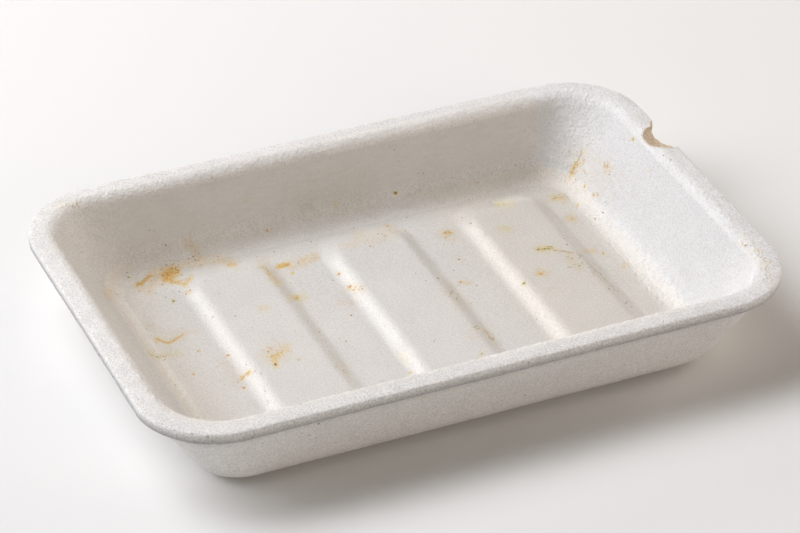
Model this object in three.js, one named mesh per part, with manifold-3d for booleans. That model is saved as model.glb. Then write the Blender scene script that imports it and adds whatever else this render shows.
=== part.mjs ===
// A shallow foam food tray: an open shell with sloping walls, a rounded rim
// turned out all round, three low flat-topped ribs pressed up from its floor,
// and one bite torn out of the rim.
//
// Millimetres, +Z up. X runs along the tray and Y across it. The origin is on
// the table, under the middle of the tray.

import * as THREE from 'three';
import { mergeVertices } from 'three/addons/utils/BufferGeometryUtils.js';
import Module from 'manifold-3d';

// ---- Driving dimensions ----

const TRAY = {
  length: 210, // over the rim
  width: 142.4, // over the rim
  height: 29.8, // table to the top of the rim
  foam: 4.2, // thickness of the floor and the walls
};

// The walls lean outwards. Their slope is measured from the floor, in degrees.
// The foam grows a little thicker towards the rim, so the outer faces lean more.
const END_WALL = { inside: 55, outside: 54 };
const SIDE_WALL = { inside: 73, outside: 71 };
const FOOT_RADIUS = 5.4; // inside fillet between the floor and the walls

const RIM = {
  top: 4.9, // from the outer edge to the inner edge of the level top
  level: 1.6, // width of the level top
  innerRadius: 4, // round edge from the rim down into the wall
  outerRadius: 0.6, // crisp edge from the rim down to its outer face
  crown: 8, // slope of the rounded top where it meets that edge, degrees
  lip: 3.6, // thickness of the turned-out lip
  lipRadius: 0.4, // lower edge of the lip
};

// Corner radii, seen from above
const RIM_CORNER = 25.5; // outer edge of the rim
const FOOT_CORNER = 12; // edge of the flat floor
const WALL_CORNER = 20; // outer face of the wall, under the lip
const BASE_CORNER = 10; // edge of the flat underside
const BASE_SHIFT = -1.8; // the underside sits this far along X from the rim's middle

const RIBS = {
  count: 3,
  pitch: 47.8,
  middle: 4.8, // the row of ribs sits a little towards +X
  width: 26.8, // between the middles of its two slopes
  length: 88, // the same, across the tray
  height: 2.6,
  slope: 7, // width of the S-shaped slope along its two long sides
  endSlope: 11, // the same at its two ends
  corner: 6, // plan corner radius, at the middle of the slope
};

// The bite is torn out of the rim at the +X end, towards +Y, in two scoops.
// Each is measured from the rim's outer edge and top.
const BITE_SCOOPS = [
  { out: 1.8, along: 29.4, up: -1.9, reach: [4.9, 7.1, 4.4], turn: 2 },
  { out: 0.4, along: 24.7, up: 1.9, reach: [9.9, 8.2, 4.9], turn: -12 },
];

// ---- Mesh fineness ----

const CORNER_STEPS = 9; // round each corner of a ring
const END_STEPS = 5; // along each straight end of a ring
const SIDE_STEPS = 8; // along each straight side of a ring
const FOOT_STEPS = 5;
const EDGE_STEPS = 5;
const CROWN_STEPS = 4;
const RIB_SLOPE_STEPS = 5;
const RIB_CORNER_STEPS = 5;
const SCOOP_DETAIL = 4;

const FLOOR = TRAY.foam; // height of the inside floor

const { sin, cos, PI, max } = Math;
const radians = THREE.MathUtils.degToRad;
const mix = THREE.MathUtils.lerp;

const wasm = await Module();
wasm.setup();

// ---- Cross-section of the shell ----

// Points of an arc as { inset, z }, where inset is measured inwards from the
// rim's outer edge. The angle turns from straight up (0) towards the outside.
function arc(inset, z, radius, from, to, steps) {
  const points = [];
  for (let i = 0; i <= steps; i++) {
    const angle = mix(from, to, i / steps);
    points.push({ inset: inset - radius * sin(angle), z: z + radius * cos(angle) });
  }
  return points;
}

// The section of one wall and its rim, from the inside floor over the rim and
// down to the underside. Both kinds of wall give the same number of points.
function wallSection({ inside, outside }) {
  const slope = radians(inside);
  const outerSlope = radians(outside);
  const crown = radians(RIM.crown);
  const rise = TRAY.height - FLOOR;
  const radii = FOOT_RADIUS + RIM.innerRadius;

  // The straight of the wall is tangent to the foot fillet and the rim's edge.
  const run = ((rise - radii) * cos(slope) + radii) / sin(slope);
  const foot = RIM.top + run;
  const outerFoot = FOOT_RADIUS + TRAY.foam;

  // The outer face of the wall runs up from the foot to the lip's underside.
  const lipBottom = TRAY.height - RIM.lip;
  const wallStart = {
    inset: foot - outerFoot * sin(outerSlope),
    z: FLOOR + FOOT_RADIUS - outerFoot * cos(outerSlope),
  };
  const crease = wallStart.inset - (lipBottom - wallStart.z) / Math.tan(outerSlope);

  const crownTop = RIM.top - RIM.level;
  const crownRun = crownTop - RIM.outerRadius * (1 - sin(crown));
  const crownRadius = crownRun / sin(crown);
  const edgeTop = TRAY.height - crownRadius * (1 - cos(crown)) - RIM.outerRadius * cos(crown);

  return [
    ...arc(foot, FLOOR + FOOT_RADIUS, FOOT_RADIUS, PI, PI - slope, FOOT_STEPS),
    ...arc(RIM.top, TRAY.height - RIM.innerRadius, RIM.innerRadius, -slope, 0, EDGE_STEPS),
    ...arc(crownTop, TRAY.height - crownRadius, crownRadius, 0, crown, CROWN_STEPS),
    ...arc(RIM.outerRadius, edgeTop, RIM.outerRadius, crown, PI / 2, EDGE_STEPS).slice(1),
    ...arc(RIM.lipRadius, lipBottom + RIM.lipRadius, RIM.lipRadius, PI / 2, PI, 2),
    { inset: crease, z: lipBottom, under: true },
    ...arc(foot, FLOOR + FOOT_RADIUS, outerFoot, PI - outerSlope, PI, FOOT_STEPS)
      .map((point) => ({ ...point, under: true })),
  ];
}

// ---- Rings and lofts ----

// A closed ring of points: a rectangle with round corners, anticlockwise from
// above. Its height may differ between the ends and the sides, and then it
// changes smoothly round each corner.
function roundedRing({
  halfX, halfY, corner, zEnd, zSide, cornerSteps, endSteps, sideSteps, shiftX = 0,
}) {
  const points = [];
  for (let quarter = 0; quarter < 4; quarter++) {
    const signX = quarter === 0 || quarter === 3 ? 1 : -1;
    const signY = quarter < 2 ? 1 : -1;
    const fromEnd = quarter % 2 === 0;
    for (let i = 0; i <= cornerSteps; i++) {
      const angle = (fromEnd ? i : cornerSteps - i) * (PI / 2 / cornerSteps);
      const share = sin(angle) ** 2;
      points.push(new THREE.Vector3(
        shiftX + signX * (halfX - corner + corner * cos(angle)),
        signY * (halfY - corner + corner * sin(angle)),
        mix(zEnd, zSide, share),
      ));
    }
    const start = points.at(-1);
    const end = start.clone();
    if (fromEnd) end.x = 2 * shiftX - start.x;
    else end.y = -start.y;
    const steps = fromEnd ? sideSteps : endSteps;
    for (let i = 1; i < steps; i++) points.push(start.clone().lerp(end, i / steps));
  }
  return points;
}

// A closed solid through a list of rings with equally many points. The first
// ring is capped facing up and the last one facing down.
function loft(rings) {
  const size = rings[0].length;
  const positions = rings.flat().flatMap((point) => point.toArray());
  const index = [];
  for (let k = 0; k + 1 < rings.length; k++) {
    for (let i = 0; i < size; i++) {
      const a = k * size + i;
      const b = k * size + ((i + 1) % size);
      index.push(a, a + size, b, b, a + size, b + size);
    }
  }
  const outline = rings[0].map((point) => new THREE.Vector2(point.x, point.y));
  const last = (rings.length - 1) * size;
  for (const [a, b, c] of THREE.ShapeUtils.triangulateShape(outline, [])) index.push(a, b, c);
  const base = rings.at(-1).map((point) => new THREE.Vector2(point.x, point.y));
  for (const [a, b, c] of THREE.ShapeUtils.triangulateShape(base, [])) {
    index.push(last + c, last + b, last + a);
  }
  const geometry = new THREE.BufferGeometry();
  geometry.setAttribute('position', new THREE.Float32BufferAttribute(positions, 3));
  geometry.setIndex(index);
  return geometry;
}

// ---- Pieces of the shape ----

// The corner radius of a ring. Round the rim it follows the outer edge at an
// even distance, and from there it narrows evenly towards the foot.
function cornerRadius(inset, deepest, under) {
  if (under) return mix(WALL_CORNER, BASE_CORNER, inset / deepest);
  if (inset < RIM.top) return RIM_CORNER - inset;
  return mix(RIM_CORNER - RIM.top, FOOT_CORNER, (inset - RIM.top) / (deepest - RIM.top));
}

function shellGeometry() {
  const ends = wallSection(END_WALL);
  const sides = wallSection(SIDE_WALL);
  const deepest = max(ends[0].inset, sides[0].inset);
  return loft(ends.map((end, k) => roundedRing({
    halfX: TRAY.length / 2 - end.inset,
    halfY: TRAY.width / 2 - sides[k].inset,
    shiftX: end.under ? BASE_SHIFT * (1 - end.z / TRAY.height) : 0,
    corner: cornerRadius(max(end.inset, sides[k].inset), deepest, end.under),
    zEnd: end.z,
    zSide: sides[k].z,
    cornerSteps: CORNER_STEPS,
    endSteps: END_STEPS,
    sideSteps: SIDE_STEPS,
  })));
}

// How much smaller a slope's lower face is than its upper one, on each side,
// so that foam of the given thickness lies between them.
function shrink(slope, foam) {
  const steepest = Math.atan((PI / 2) * (RIBS.height / slope));
  return foam * Math.tan(steepest / 2);
}

// A low block with an S-shaped slope all round, standing on the height z. The
// solid reaches down below z by its skirt. Under a rib, the hollow is the same
// block made smaller by the foam that lies over it.
function ribGeometry(x, z, skirt, foam = 0) {
  const ring = (share, height) => roundedRing({
    halfX: RIBS.width / 2 + share * RIBS.slope - shrink(RIBS.slope, foam),
    halfY: RIBS.length / 2 + share * RIBS.endSlope - shrink(RIBS.endSlope, foam),
    corner: RIBS.corner + share * RIBS.slope,
    zEnd: height,
    zSide: height,
    cornerSteps: RIB_CORNER_STEPS,
    endSteps: 1,
    sideSteps: 1,
  });
  const rings = [];
  for (let i = 0; i <= RIB_SLOPE_STEPS; i++) {
    const t = i / RIB_SLOPE_STEPS;
    rings.push(ring(t - 0.5, z + RIBS.height * (0.5 + 0.5 * cos(PI * t))));
  }
  rings.push(ring(0.5, z - skirt));
  return loft(rings).translate(x, 0, 0);
}

function biteGeometry({ out, along, up, reach, turn }) {
  const scoop = new THREE.IcosahedronGeometry(1, SCOOP_DETAIL);
  scoop.scale(...reach);
  scoop.rotateZ(radians(turn));
  return scoop.translate(TRAY.length / 2 + out, along, TRAY.height + up);
}

// ---- Joins and cuts ----

function solidFrom(geometry) {
  const bare = geometry.clone();
  bare.deleteAttribute('normal');
  bare.deleteAttribute('uv');
  const merged = mergeVertices(bare, 1e-4);
  return new wasm.Manifold(new wasm.Mesh({
    numProp: 3,
    vertProperties: Float32Array.from(merged.attributes.position.array),
    triVerts: Uint32Array.from(merged.index.array),
  }));
}

function geometryFrom(solid) {
  const { vertProperties, triVerts } = solid.getMesh();
  const geometry = new THREE.BufferGeometry();
  geometry.setAttribute('position', new THREE.BufferAttribute(vertProperties, 3));
  geometry.setIndex(new THREE.BufferAttribute(triVerts, 1));
  geometry.computeVertexNormals();
  return geometry;
}

// The floor keeps its thickness under a rib, so the underside has a hollow
// that follows the rib's top at the foam's thickness.
function trayGeometry() {
  let tray = solidFrom(shellGeometry());
  for (let i = 0; i < RIBS.count; i++) {
    const x = RIBS.middle + (i - (RIBS.count - 1) / 2) * RIBS.pitch;
    tray = tray.add(solidFrom(ribGeometry(x, FLOOR, 1)));
    tray = tray.subtract(solidFrom(ribGeometry(x, 0, 1, TRAY.foam)));
  }
  for (const scoop of BITE_SCOOPS) tray = tray.subtract(solidFrom(biteGeometry(scoop)));
  return geometryFrom(tray);
}

// ---- The part ----

const foam = new THREE.MeshStandardMaterial({ color: 0xe4e0da, roughness: 0.85, metalness: 0 });

const tray = new THREE.Mesh(trayGeometry(), foam);
tray.name = 'tray';

const part = new THREE.Group();
part.add(tray);

export default part;
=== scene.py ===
"""A used foam food tray: ribbed floor, sloping walls, turned-out rim, one bite torn out of it."""

from itertools import chain, product
from math import atan, cos, pi, radians, sin, tan

import bmesh
import bpy
import numpy as np
from mathutils import Matrix, Vector, kdtree
from mathutils.bvhtree import BVHTree


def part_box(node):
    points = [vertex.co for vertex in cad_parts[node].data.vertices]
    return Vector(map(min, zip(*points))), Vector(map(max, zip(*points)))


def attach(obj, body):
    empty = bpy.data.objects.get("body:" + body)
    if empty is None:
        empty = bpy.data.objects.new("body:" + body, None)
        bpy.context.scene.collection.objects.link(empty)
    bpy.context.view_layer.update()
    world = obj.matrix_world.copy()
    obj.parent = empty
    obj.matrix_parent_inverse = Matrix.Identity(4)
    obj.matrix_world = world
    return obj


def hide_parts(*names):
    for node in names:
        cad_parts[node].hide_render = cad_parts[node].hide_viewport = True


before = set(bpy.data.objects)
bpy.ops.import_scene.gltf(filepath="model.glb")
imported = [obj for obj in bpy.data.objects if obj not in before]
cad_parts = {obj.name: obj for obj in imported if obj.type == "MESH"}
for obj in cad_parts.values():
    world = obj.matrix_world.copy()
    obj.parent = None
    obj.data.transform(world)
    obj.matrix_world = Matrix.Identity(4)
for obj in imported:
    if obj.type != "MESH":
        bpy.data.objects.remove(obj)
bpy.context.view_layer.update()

MM = 0.001
SEED = 11

# ---- Dimensions in millimetres, in the row frame ----

LOW, HIGH = (np.array(corner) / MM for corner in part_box("tray"))
LENGTH, WIDTH, HEIGHT = HIGH - LOW
FOAM = 4.2  # thickness of the floor and the walls
FLOOR = FOAM
END_WALL = {"inside": radians(55), "outside": radians(54)}  # slopes from the floor
SIDE_WALL = {"inside": radians(73), "outside": radians(71)}
FOOT_RADIUS = 5.4
RIM_TOP, RIM_LEVEL = 4.9, 1.6  # from the outer edge to the level top's inner edge; its width
RIM_INNER_RADIUS, RIM_OUTER_RADIUS = 4.0, 0.6
RIM_CROWN = radians(8)  # how far the top turns down towards its outer edge
LIP, LIP_RADIUS = 3.6, 0.4
RIM_CORNER, FOOT_CORNER = 25.5, 12.0
WALL_CORNER, BASE_CORNER = 20.0, 10.0
BASE_SHIFT = -1.8  # of the underside along X

RIB_COUNT, RIB_PITCH, RIB_MIDDLE = 3, 47.8, 4.8
RIB_WIDTH, RIB_LENGTH, RIB_HEIGHT = 26.8, 88.0, 2.6
RIB_SLOPE, RIB_END_SLOPE, RIB_CORNER = 7.0, 11.0, 6.0
RIBS = [RIB_MIDDLE + (i - (RIB_COUNT - 1) / 2) * RIB_PITCH for i in range(RIB_COUNT)]

# Scoops of the bite: place from the rim's outer edge and top, reach, turn
BITE_SCOOPS = [
    {"out": 1.8, "along": 29.4, "up": -1.9, "reach": (4.9, 7.1, 4.4), "turn": 2},
    {"out": 0.4, "along": 24.7, "up": 1.9, "reach": (9.9, 8.2, 4.9), "turn": -12},
]

# ---- The photograph's camera ----

PHOTO_SIZE = (800, 533)
FOCAL_PX = 3634.0
CAMERA_AT = Vector((-377.65, -861.35, 647.96))  # mm
CAMERA_LOOKS = Vector((0.33362, 0.76259, -0.55421))


def look_matrix(direction):
    return direction.to_track_quat("-Z", "Y").to_matrix()


def photo_ray(x, y):
    """The direction from the camera through a pixel of the photograph."""
    local = Vector((x - PHOTO_SIZE[0] / 2, PHOTO_SIZE[1] / 2 - y, -FOCAL_PX))
    return (look_matrix(CAMERA_LOOKS) @ local).normalized()


# ---- Noise ----

GRADIENTS = np.random.default_rng(SEED).normal(size=(256, 3))
GRADIENTS /= np.linalg.norm(GRADIENTS, axis=1)[:, None]


def noise(points, size, seed):
    """Smooth noise from about -1 to 1 at points, with lumps of about the given size.
    The size may differ along X, Y and Z."""
    place = points / np.array(size) + 31.7 * seed
    cell = np.floor(place).astype(np.int64)
    part = place - cell
    ease = part**3 * (part * (part * 6 - 15) + 10)
    total = np.zeros(len(points))
    for corner in product((0, 1), repeat=3):
        at = cell + corner
        key = (at * (73856093, 19349663, 83492791)).sum(1) ^ (seed * 2654435761)
        key = (key ^ (key >> 13)) * 1274126177
        gradient = GRADIENTS[((key ^ (key >> 16)) & 255).astype(int)]
        value = ((part - corner) * gradient).sum(1)
        weight = np.where(corner, ease, 1 - ease).prod(1)
        total += value * weight
    return total * 1.7


def smooth_step(low, high, value):
    t = np.clip((value - low) / (high - low), 0, 1)
    return t * t * (3 - 2 * t)


# ---- Cross-section and rings ----

CORNER_STEPS, SIDE_STEPS, END_STEPS = 40, 180, 108  # even numbers
FOOT_STEPS, WALL_STEPS, EDGE_STEPS = 7, 29, 7
CROWN_STEPS, OUTER_STEPS, LIP_STEPS, UNDER_STEPS = 6, 3, 2, 14
RIB_HALVINGS = 14  # of the search for a place on a rib's slope


def arc(inset, z, radius, start, end, steps):
    """Points (inset, z) of an arc. The angle turns from straight up towards the outside."""
    angle = np.linspace(start, end, steps + 1)
    return np.c_[inset - radius * np.sin(angle), z + radius * np.cos(angle)]


def line(start, end, steps):
    """The points between two points, without both ends."""
    share = np.linspace(0, 1, steps + 1)[1:-1, None]
    return np.asarray(start) * (1 - share) + np.asarray(end) * share


def wall_section(inside, outside):
    """(points, zones) from the inside floor over the rim and down to the underside."""
    rise = HEIGHT - FLOOR
    radii = FOOT_RADIUS + RIM_INNER_RADIUS
    foot = RIM_TOP + ((rise - radii) * cos(inside) + radii) / sin(inside)
    outer_foot = FOOT_RADIUS + FOAM
    lip_bottom = HEIGHT - LIP
    crown_top = RIM_TOP - RIM_LEVEL
    crown_run = crown_top - RIM_OUTER_RADIUS * (1 - sin(RIM_CROWN))
    crown_radius = crown_run / sin(RIM_CROWN)
    edge_top = HEIGHT - crown_radius * (1 - cos(RIM_CROWN)) - RIM_OUTER_RADIUS * cos(RIM_CROWN)
    foot_z = FLOOR + FOOT_RADIUS

    inner_foot = arc(foot, foot_z, FOOT_RADIUS, pi, pi - inside, FOOT_STEPS)
    inner_edge = arc(RIM_TOP, HEIGHT - RIM_INNER_RADIUS, RIM_INNER_RADIUS, -inside, 0, EDGE_STEPS)
    crown = arc(crown_top, HEIGHT - crown_radius, crown_radius, 0, RIM_CROWN, CROWN_STEPS)
    outer_edge = arc(RIM_OUTER_RADIUS, edge_top, RIM_OUTER_RADIUS, RIM_CROWN, pi / 2, OUTER_STEPS)[1:]
    lip_edge = arc(LIP_RADIUS, lip_bottom + LIP_RADIUS, LIP_RADIUS, pi / 2, pi, LIP_STEPS)
    outer = arc(foot, foot_z, outer_foot, pi - outside, pi, FOOT_STEPS)
    crease = np.array([[outer[0, 0] - (lip_bottom - outer[0, 1]) / tan(outside), lip_bottom]])
    pieces = [
        ("foot", inner_foot),
        ("wall", line(inner_foot[-1], inner_edge[0], WALL_STEPS)),
        ("edge", inner_edge),
        ("top", line(inner_edge[-1], crown[0], 2)),
        ("top", crown),
        ("top", outer_edge),
        ("lip", line(outer_edge[-1], lip_edge[0], 2)),
        ("lip", lip_edge),
        ("under", crease),
        ("under", line(crease[0], outer[0], UNDER_STEPS)),
        ("under", outer),
    ]
    zones = [zone for zone, points in pieces for _ in points]
    return np.vstack([points for _, points in pieces]), zones


class Ring:
    """A rectangle with round corners as arrays, anticlockwise from the middle of the corner at +X +Y.
    A point is (out * (half - corner) + turn * corner); share is 0 along the ends and 1 along the sides."""

    def __init__(self, corner_steps, side_steps, end_steps):
        out, turn, share = [], [], []
        for quarter in range(4):
            start = quarter * pi / 2
            for angle in np.linspace(start, start + pi / 2, corner_steps + 1):
                middle = start + pi / 4
                out.append((np.sign(cos(middle)), np.sign(sin(middle))))
                turn.append((cos(angle), sin(angle)))
                share.append(sin(angle) ** 2)
            steps = side_steps if quarter % 2 == 0 else end_steps
            along = np.linspace(1, -1, steps + 1)[1:-1] * (1 if quarter < 2 else -1)
            for t in along:
                out.append((t, 1 - quarter) if quarter % 2 == 0 else (quarter - 2, t))
                turn.append((0, 1 - quarter) if quarter % 2 == 0 else (quarter - 2, 0))
                share.append(1.0 if quarter % 2 == 0 else 0.0)
        first = corner_steps // 2
        self.out, self.turn, self.share = (
            np.roll(np.array(values, float), -first, axis=0) for values in (out, turn, share)
        )

    def points(self, half_x, half_y, corner, z_end, z_side):
        flat = self.out * (np.array([half_x, half_y]) - corner) + self.turn * corner
        return np.c_[flat, z_end * (1 - self.share) + z_side * self.share]


def patch(ring, side, end):
    """The inside points of a grid that fills a ring whose corners are at 0, side, side + end and so on.
    Returns (points, index grid), where the grid's border holds the ring's own numbers."""
    n = len(ring)
    border = np.full((end + 1, side + 1), -1)
    u, v = np.arange(side + 1), np.arange(end + 1)
    border[end, ::-1] = u  # +Y side, from +X to -X
    border[::-1, 0] = side + v
    border[0, :] = side + end + u
    border[:, side] = (2 * side + end + v) % n
    top, bottom = ring[border[end]], ring[border[0]]
    left, right = ring[border[:, 0]], ring[border[:, side]]
    s, t = (u / side)[None, :, None], (v / end)[:, None, None]
    grid = (1 - t) * bottom + t * top + (1 - s) * left[:, None] + s * right[:, None]
    corners = (1 - s) * (1 - t) * bottom[0] + s * (1 - t) * bottom[-1]
    grid = grid - (corners + (1 - s) * t * top[0] + s * t * top[-1])
    inner = grid[1:-1, 1:-1].reshape(-1, 3)
    border[1:-1, 1:-1] = n + np.arange(len(inner)).reshape(end - 1, side - 1)
    return inner, border


def grid_faces(grid):
    return np.stack([grid[:-1, :-1], grid[:-1, 1:], grid[1:, 1:], grid[1:, :-1]], -1).reshape(-1, 4)


def band(start, count, here, ahead):
    """The faces between two rings of count points, the first of them numbered from start."""
    return np.c_[start + here, start + count + here, start + count + ahead, start + ahead]


def shrink(slope, foam):
    """How much less far a slope's underside reaches out than its top, in foam of that thickness."""
    return foam * tan(atan(pi / 2 * RIB_HEIGHT / slope) / 2)


def rib_rise(x, y, foam=0.0):
    """Height of the ribs above the floor, or of the hollows under them with the foam's thickness."""
    rise = np.zeros_like(x)
    half_x = RIB_WIDTH / 2 - shrink(RIB_SLOPE, foam)
    half_y = RIB_LENGTH / 2 - shrink(RIB_END_SLOPE, foam)
    for middle in RIBS:
        # halve the range of the share down the slope until its ring meets the point
        low, high = np.full_like(x, -0.5), np.full_like(x, 0.5)
        for _ in range(RIB_HALVINGS):
            share = (low + high) / 2
            corner = RIB_CORNER + share * RIB_SLOPE
            ax = np.abs(x - middle) - (half_x - RIB_CORNER)
            ay = np.abs(y) - (half_y + share * RIB_END_SLOPE - corner)
            distance = np.hypot(np.maximum(ax, 0), np.maximum(ay, 0))
            distance = distance + np.minimum(np.maximum(ax, ay), 0) - corner
            low, high = np.where(distance > 0, share, low), np.where(distance > 0, high, share)
        rise = np.maximum(rise, RIB_HEIGHT * (0.5 + 0.5 * np.cos(pi * (share + 0.5))))
    return rise


def corner_radius(inset, deepest, under):
    if under:
        return WALL_CORNER + (BASE_CORNER - WALL_CORNER) * inset / deepest
    if inset < RIM_TOP:
        return RIM_CORNER - inset
    share = (inset - RIM_TOP) / (deepest - RIM_TOP)
    return (RIM_CORNER - RIM_TOP) * (1 - share) + FOOT_CORNER * share


def tray_mesh():
    """(points, faces, zone of each point) of the whole tray before its bite, in mm."""
    ends, zones = wall_section(**END_WALL)
    sides, _ = wall_section(**SIDE_WALL)
    deepest = max(ends[0, 0], sides[0, 0])
    ring = Ring(CORNER_STEPS, SIDE_STEPS, END_STEPS)
    count = len(ring.share)

    rings, zone = [], []
    for end, side, name in zip(ends, sides, zones):
        corner = corner_radius(max(end[0], side[0]), deepest, name == "under")
        rings.append(ring.points(LENGTH / 2 - end[0], WIDTH / 2 - side[0], corner, end[1], side[1]))
        if name == "under":
            rings[-1][:, 0] += BASE_SHIFT * (1 - end[1] / HEIGHT)
        zone += [name] * count
    points = np.vstack(rings)

    # below the crease ring, which has every point, only every second point goes on
    crease = zones.index("under")
    here, coarse = np.arange(count), np.arange(0, count, 2)
    ahead, coarse_ahead = np.roll(here, -1), np.roll(coarse, -1)
    faces = [band(k * count, count, here, ahead) for k in range(crease)]
    upper, lower = crease * count, (crease + 1) * count
    fan = (upper + coarse, lower + coarse, lower + coarse_ahead, upper + coarse_ahead)
    for a, b in zip(fan[:-1], fan[1:]):
        faces.append(np.c_[a, b, upper + coarse + 1, upper + coarse + 1])
    faces += [band(k * count, count, coarse, coarse_ahead) for k in range(crease + 1, len(rings) - 1)]

    # the floor, and the underside of half as many points each way with its faces turned over
    side, end = SIDE_STEPS + CORNER_STEPS, END_STEPS + CORNER_STEPS
    for name, k, step, foam, turn in (("floor", 0, 1, 0, 1), ("base", len(rings) - 1, 2, FOAM, -1)):
        inner, grid = patch(rings[k][::step], side // step, end // step)
        border = count // step
        index = np.where(grid < border, k * count + step * grid, grid - border + len(points))
        inner[:, 2] = FLOOR - foam + rib_rise(inner[:, 0], inner[:, 1], foam)
        faces.append(grid_faces(index)[:, ::turn])
        points = np.vstack([points, inner])
        zone += [name] * len(inner)

    faces = np.vstack(faces)
    used = np.unique(faces)
    number = np.full(len(points), -1)
    number[used] = np.arange(len(used))
    return points[used], number[faces], np.array(zone)[used]


def point_normals(points, faces):
    a, b, c, d = (points[faces[:, i]] for i in range(4))
    face = np.cross(c - a, d - b)
    face[faces[:, 2] == faces[:, 3]] = np.cross(b - a, c - a)[faces[:, 2] == faces[:, 3]]
    normal = np.zeros_like(points)
    for i in range(4):
        np.add.at(normal, faces[:, i], face)
    return normal / np.maximum(np.linalg.norm(normal, axis=1), 1e-12)[:, None]


def add_object(name, data):
    made = bpy.data.objects.new(name, data)
    bpy.context.scene.collection.objects.link(made)
    return made


def face_corners(faces):
    """The corners of each face as a list, where a triangle has its last corner twice."""
    return [list(dict.fromkeys(face)) for face in faces.tolist()]


def new_object(name, points, faces):
    """An object in the row frame from points in mm and faces of three or four corners."""
    mesh = bpy.data.meshes.new(name)
    mesh.from_pydata((points * MM).tolist(), [], face_corners(faces))
    mesh.polygons.foreach_set("use_smooth", [True] * len(mesh.polygons))
    mesh.update()
    return add_object(name, mesh)


def vertex_values(mesh, field):
    """A field of three numbers of all the vertices, as an array."""
    values = np.zeros(len(mesh.vertices) * 3)
    mesh.vertices.foreach_get(field, values)
    return values.reshape(-1, 3)


def surface_tree(mesh):
    """A search tree of a mesh's faces, in mm."""
    corners = [list(face.vertices) for face in mesh.polygons]
    return BVHTree.FromPolygons([v.co / MM for v in mesh.vertices], corners)


def point_attribute(piece, name, values):
    """Keep a number, or the red, green and blue of a colour, at each point of a piece."""
    kind, field = "FLOAT", "value"
    if values.ndim == 2:
        kind, field = "FLOAT_COLOR", "color"
        values = np.c_[values, np.ones(len(values))]
    piece.data.attributes.new(name, kind, "POINT").data.foreach_set(field, values.ravel())


# ---- Skin: low lumps, streaks and blisters ----

# Lumps of the skin: height in mm, size in mm (one number, or along X, Y and Z), seed
LUMPS = {
    "all": [(0.12, 38, 1), (0.03, 2.6, 2), (0.02, 1.6, 3)],
    "streaks": [(0.03, (1.5, 1.5, 11), 6)],
    "rim": [(0.1, 6, 7), (0.07, 2.2, 8), (0.05, 1.2, 10)],
    "rim waves": [(0.15, 60, 9)],
}
BLISTER_HEIGHT, BLISTER_PIT = 0.2, 0.6  # in mm; a pit's share of a blister
BLISTER_SIZE, PIT_SIZE = (1.7, 1.7, 1.9), 1.5
LEVEL_UP_TO = 0.6  # what is lower than this has no relief, so the tray stands flat

# How much the skin is blistered, 0 to 1, and where that ends
# The slopes to -X face the light; their larger share also gives them more painted sheen in tone().
BLISTERED = {"foot": 1.0, "edge": 0.9, "slopes to -X": 0.9, "slopes to +X": 0.27, "corners": 0.8}
FOOT_BLISTERS = (13, 8)  # up the wall
FLOOR_BLISTERS = 2.5  # from the wall onto the floor
CORNER_X, CORNER_Y = (LENGTH / 2 - 42, LENGTH / 2 - 30), (WIDTH / 2 - 38, WIDTH / 2 - 26)


def rib_slope(x, y):
    """1 half-way down a rib's slope and 0 off it, and whether the slope looks towards -X."""
    share = rib_rise(x, y) / RIB_HEIGHT
    nearest = np.array(RIBS)[np.argmin([np.abs(x - middle) for middle in RIBS], axis=0)]
    return 4 * share * (1 - share), x < nearest


def blister_share(points, zone, floor_reach):
    """Where the skin is blistered, 0 to 1: the foot of the walls, the ribs' slopes, the corners and
    the rim's inner edge. The reach is the floor's half length and half width."""
    x, y, z = points.T
    foot = np.where(zone == "foot", BLISTERED["foot"], 0)
    wall_foot = np.where(zone == "wall", smooth_step(*FOOT_BLISTERS, z), 0)
    off_foot = np.minimum(floor_reach[0] - np.abs(x), floor_reach[1] - np.abs(y))
    near_foot = np.where(zone == "floor", smooth_step(FLOOR_BLISTERS, 0, off_foot), 0)
    slope, faces_left = rib_slope(x, y)
    strength = np.where(faces_left, BLISTERED["slopes to -X"], BLISTERED["slopes to +X"])
    slope = np.where(zone == "floor", slope * strength, 0)
    edge = np.where(zone == "edge", BLISTERED["edge"], 0)
    corner = smooth_step(*CORNER_X, np.abs(x)) * smooth_step(*CORNER_Y, np.abs(y))
    corner = np.where(np.isin(zone, ("wall", "foot")), corner * BLISTERED["corners"], 0)
    return np.clip(np.maximum.reduce([foot, wall_foot, near_foot, slope, edge, corner]), 0, 1)


def lumps(points, kind):
    return sum(height * noise(points, size, seed) for height, size, seed in LUMPS[kind])


def relief(points, zone, floor_reach):
    """Height of the skin above the smooth tray, in mm."""
    rise = lumps(points, "all")
    blister = smooth_step(0.1, 0.55, noise(points, BLISTER_SIZE, 4))
    blister = blister - BLISTER_PIT * smooth_step(0.25, 0.6, noise(points, PIT_SIZE, 5))
    rise += BLISTER_HEIGHT * blister * blister_share(points, zone, floor_reach)
    rise += np.where(np.isin(zone, ("wall", "under")), lumps(points, "streaks"), 0)
    rim = np.isin(zone, ("top", "lip"))
    rise += np.where(rim, lumps(points, "rim"), 0)
    rise += np.where(rim | (zone == "edge"), lumps(points, "rim waves"), 0)
    level = (zone == "base") | (points[:, 2] < LEVEL_UP_TO)
    return np.where(level, 0, rise)


points, faces, zone = tray_mesh()
normals = point_normals(points, faces)
smooth_tray = BVHTree.FromPolygons(points.tolist(), face_corners(faces))
floor_reach = np.abs(points[zone == "floor"]).max(axis=0)
points = points + normals * relief(points, zone, floor_reach)[:, None]
points[:, 2] = np.maximum(points[:, 2], 0)
points = np.clip(points, LOW, HIGH)
zone_tree = kdtree.KDTree(len(points))
for i, place in enumerate(points):
    zone_tree.insert(place, i)
zone_tree.balance()

tray = new_object("foam_tray", points, faces)

# ---- The bite ----

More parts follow.
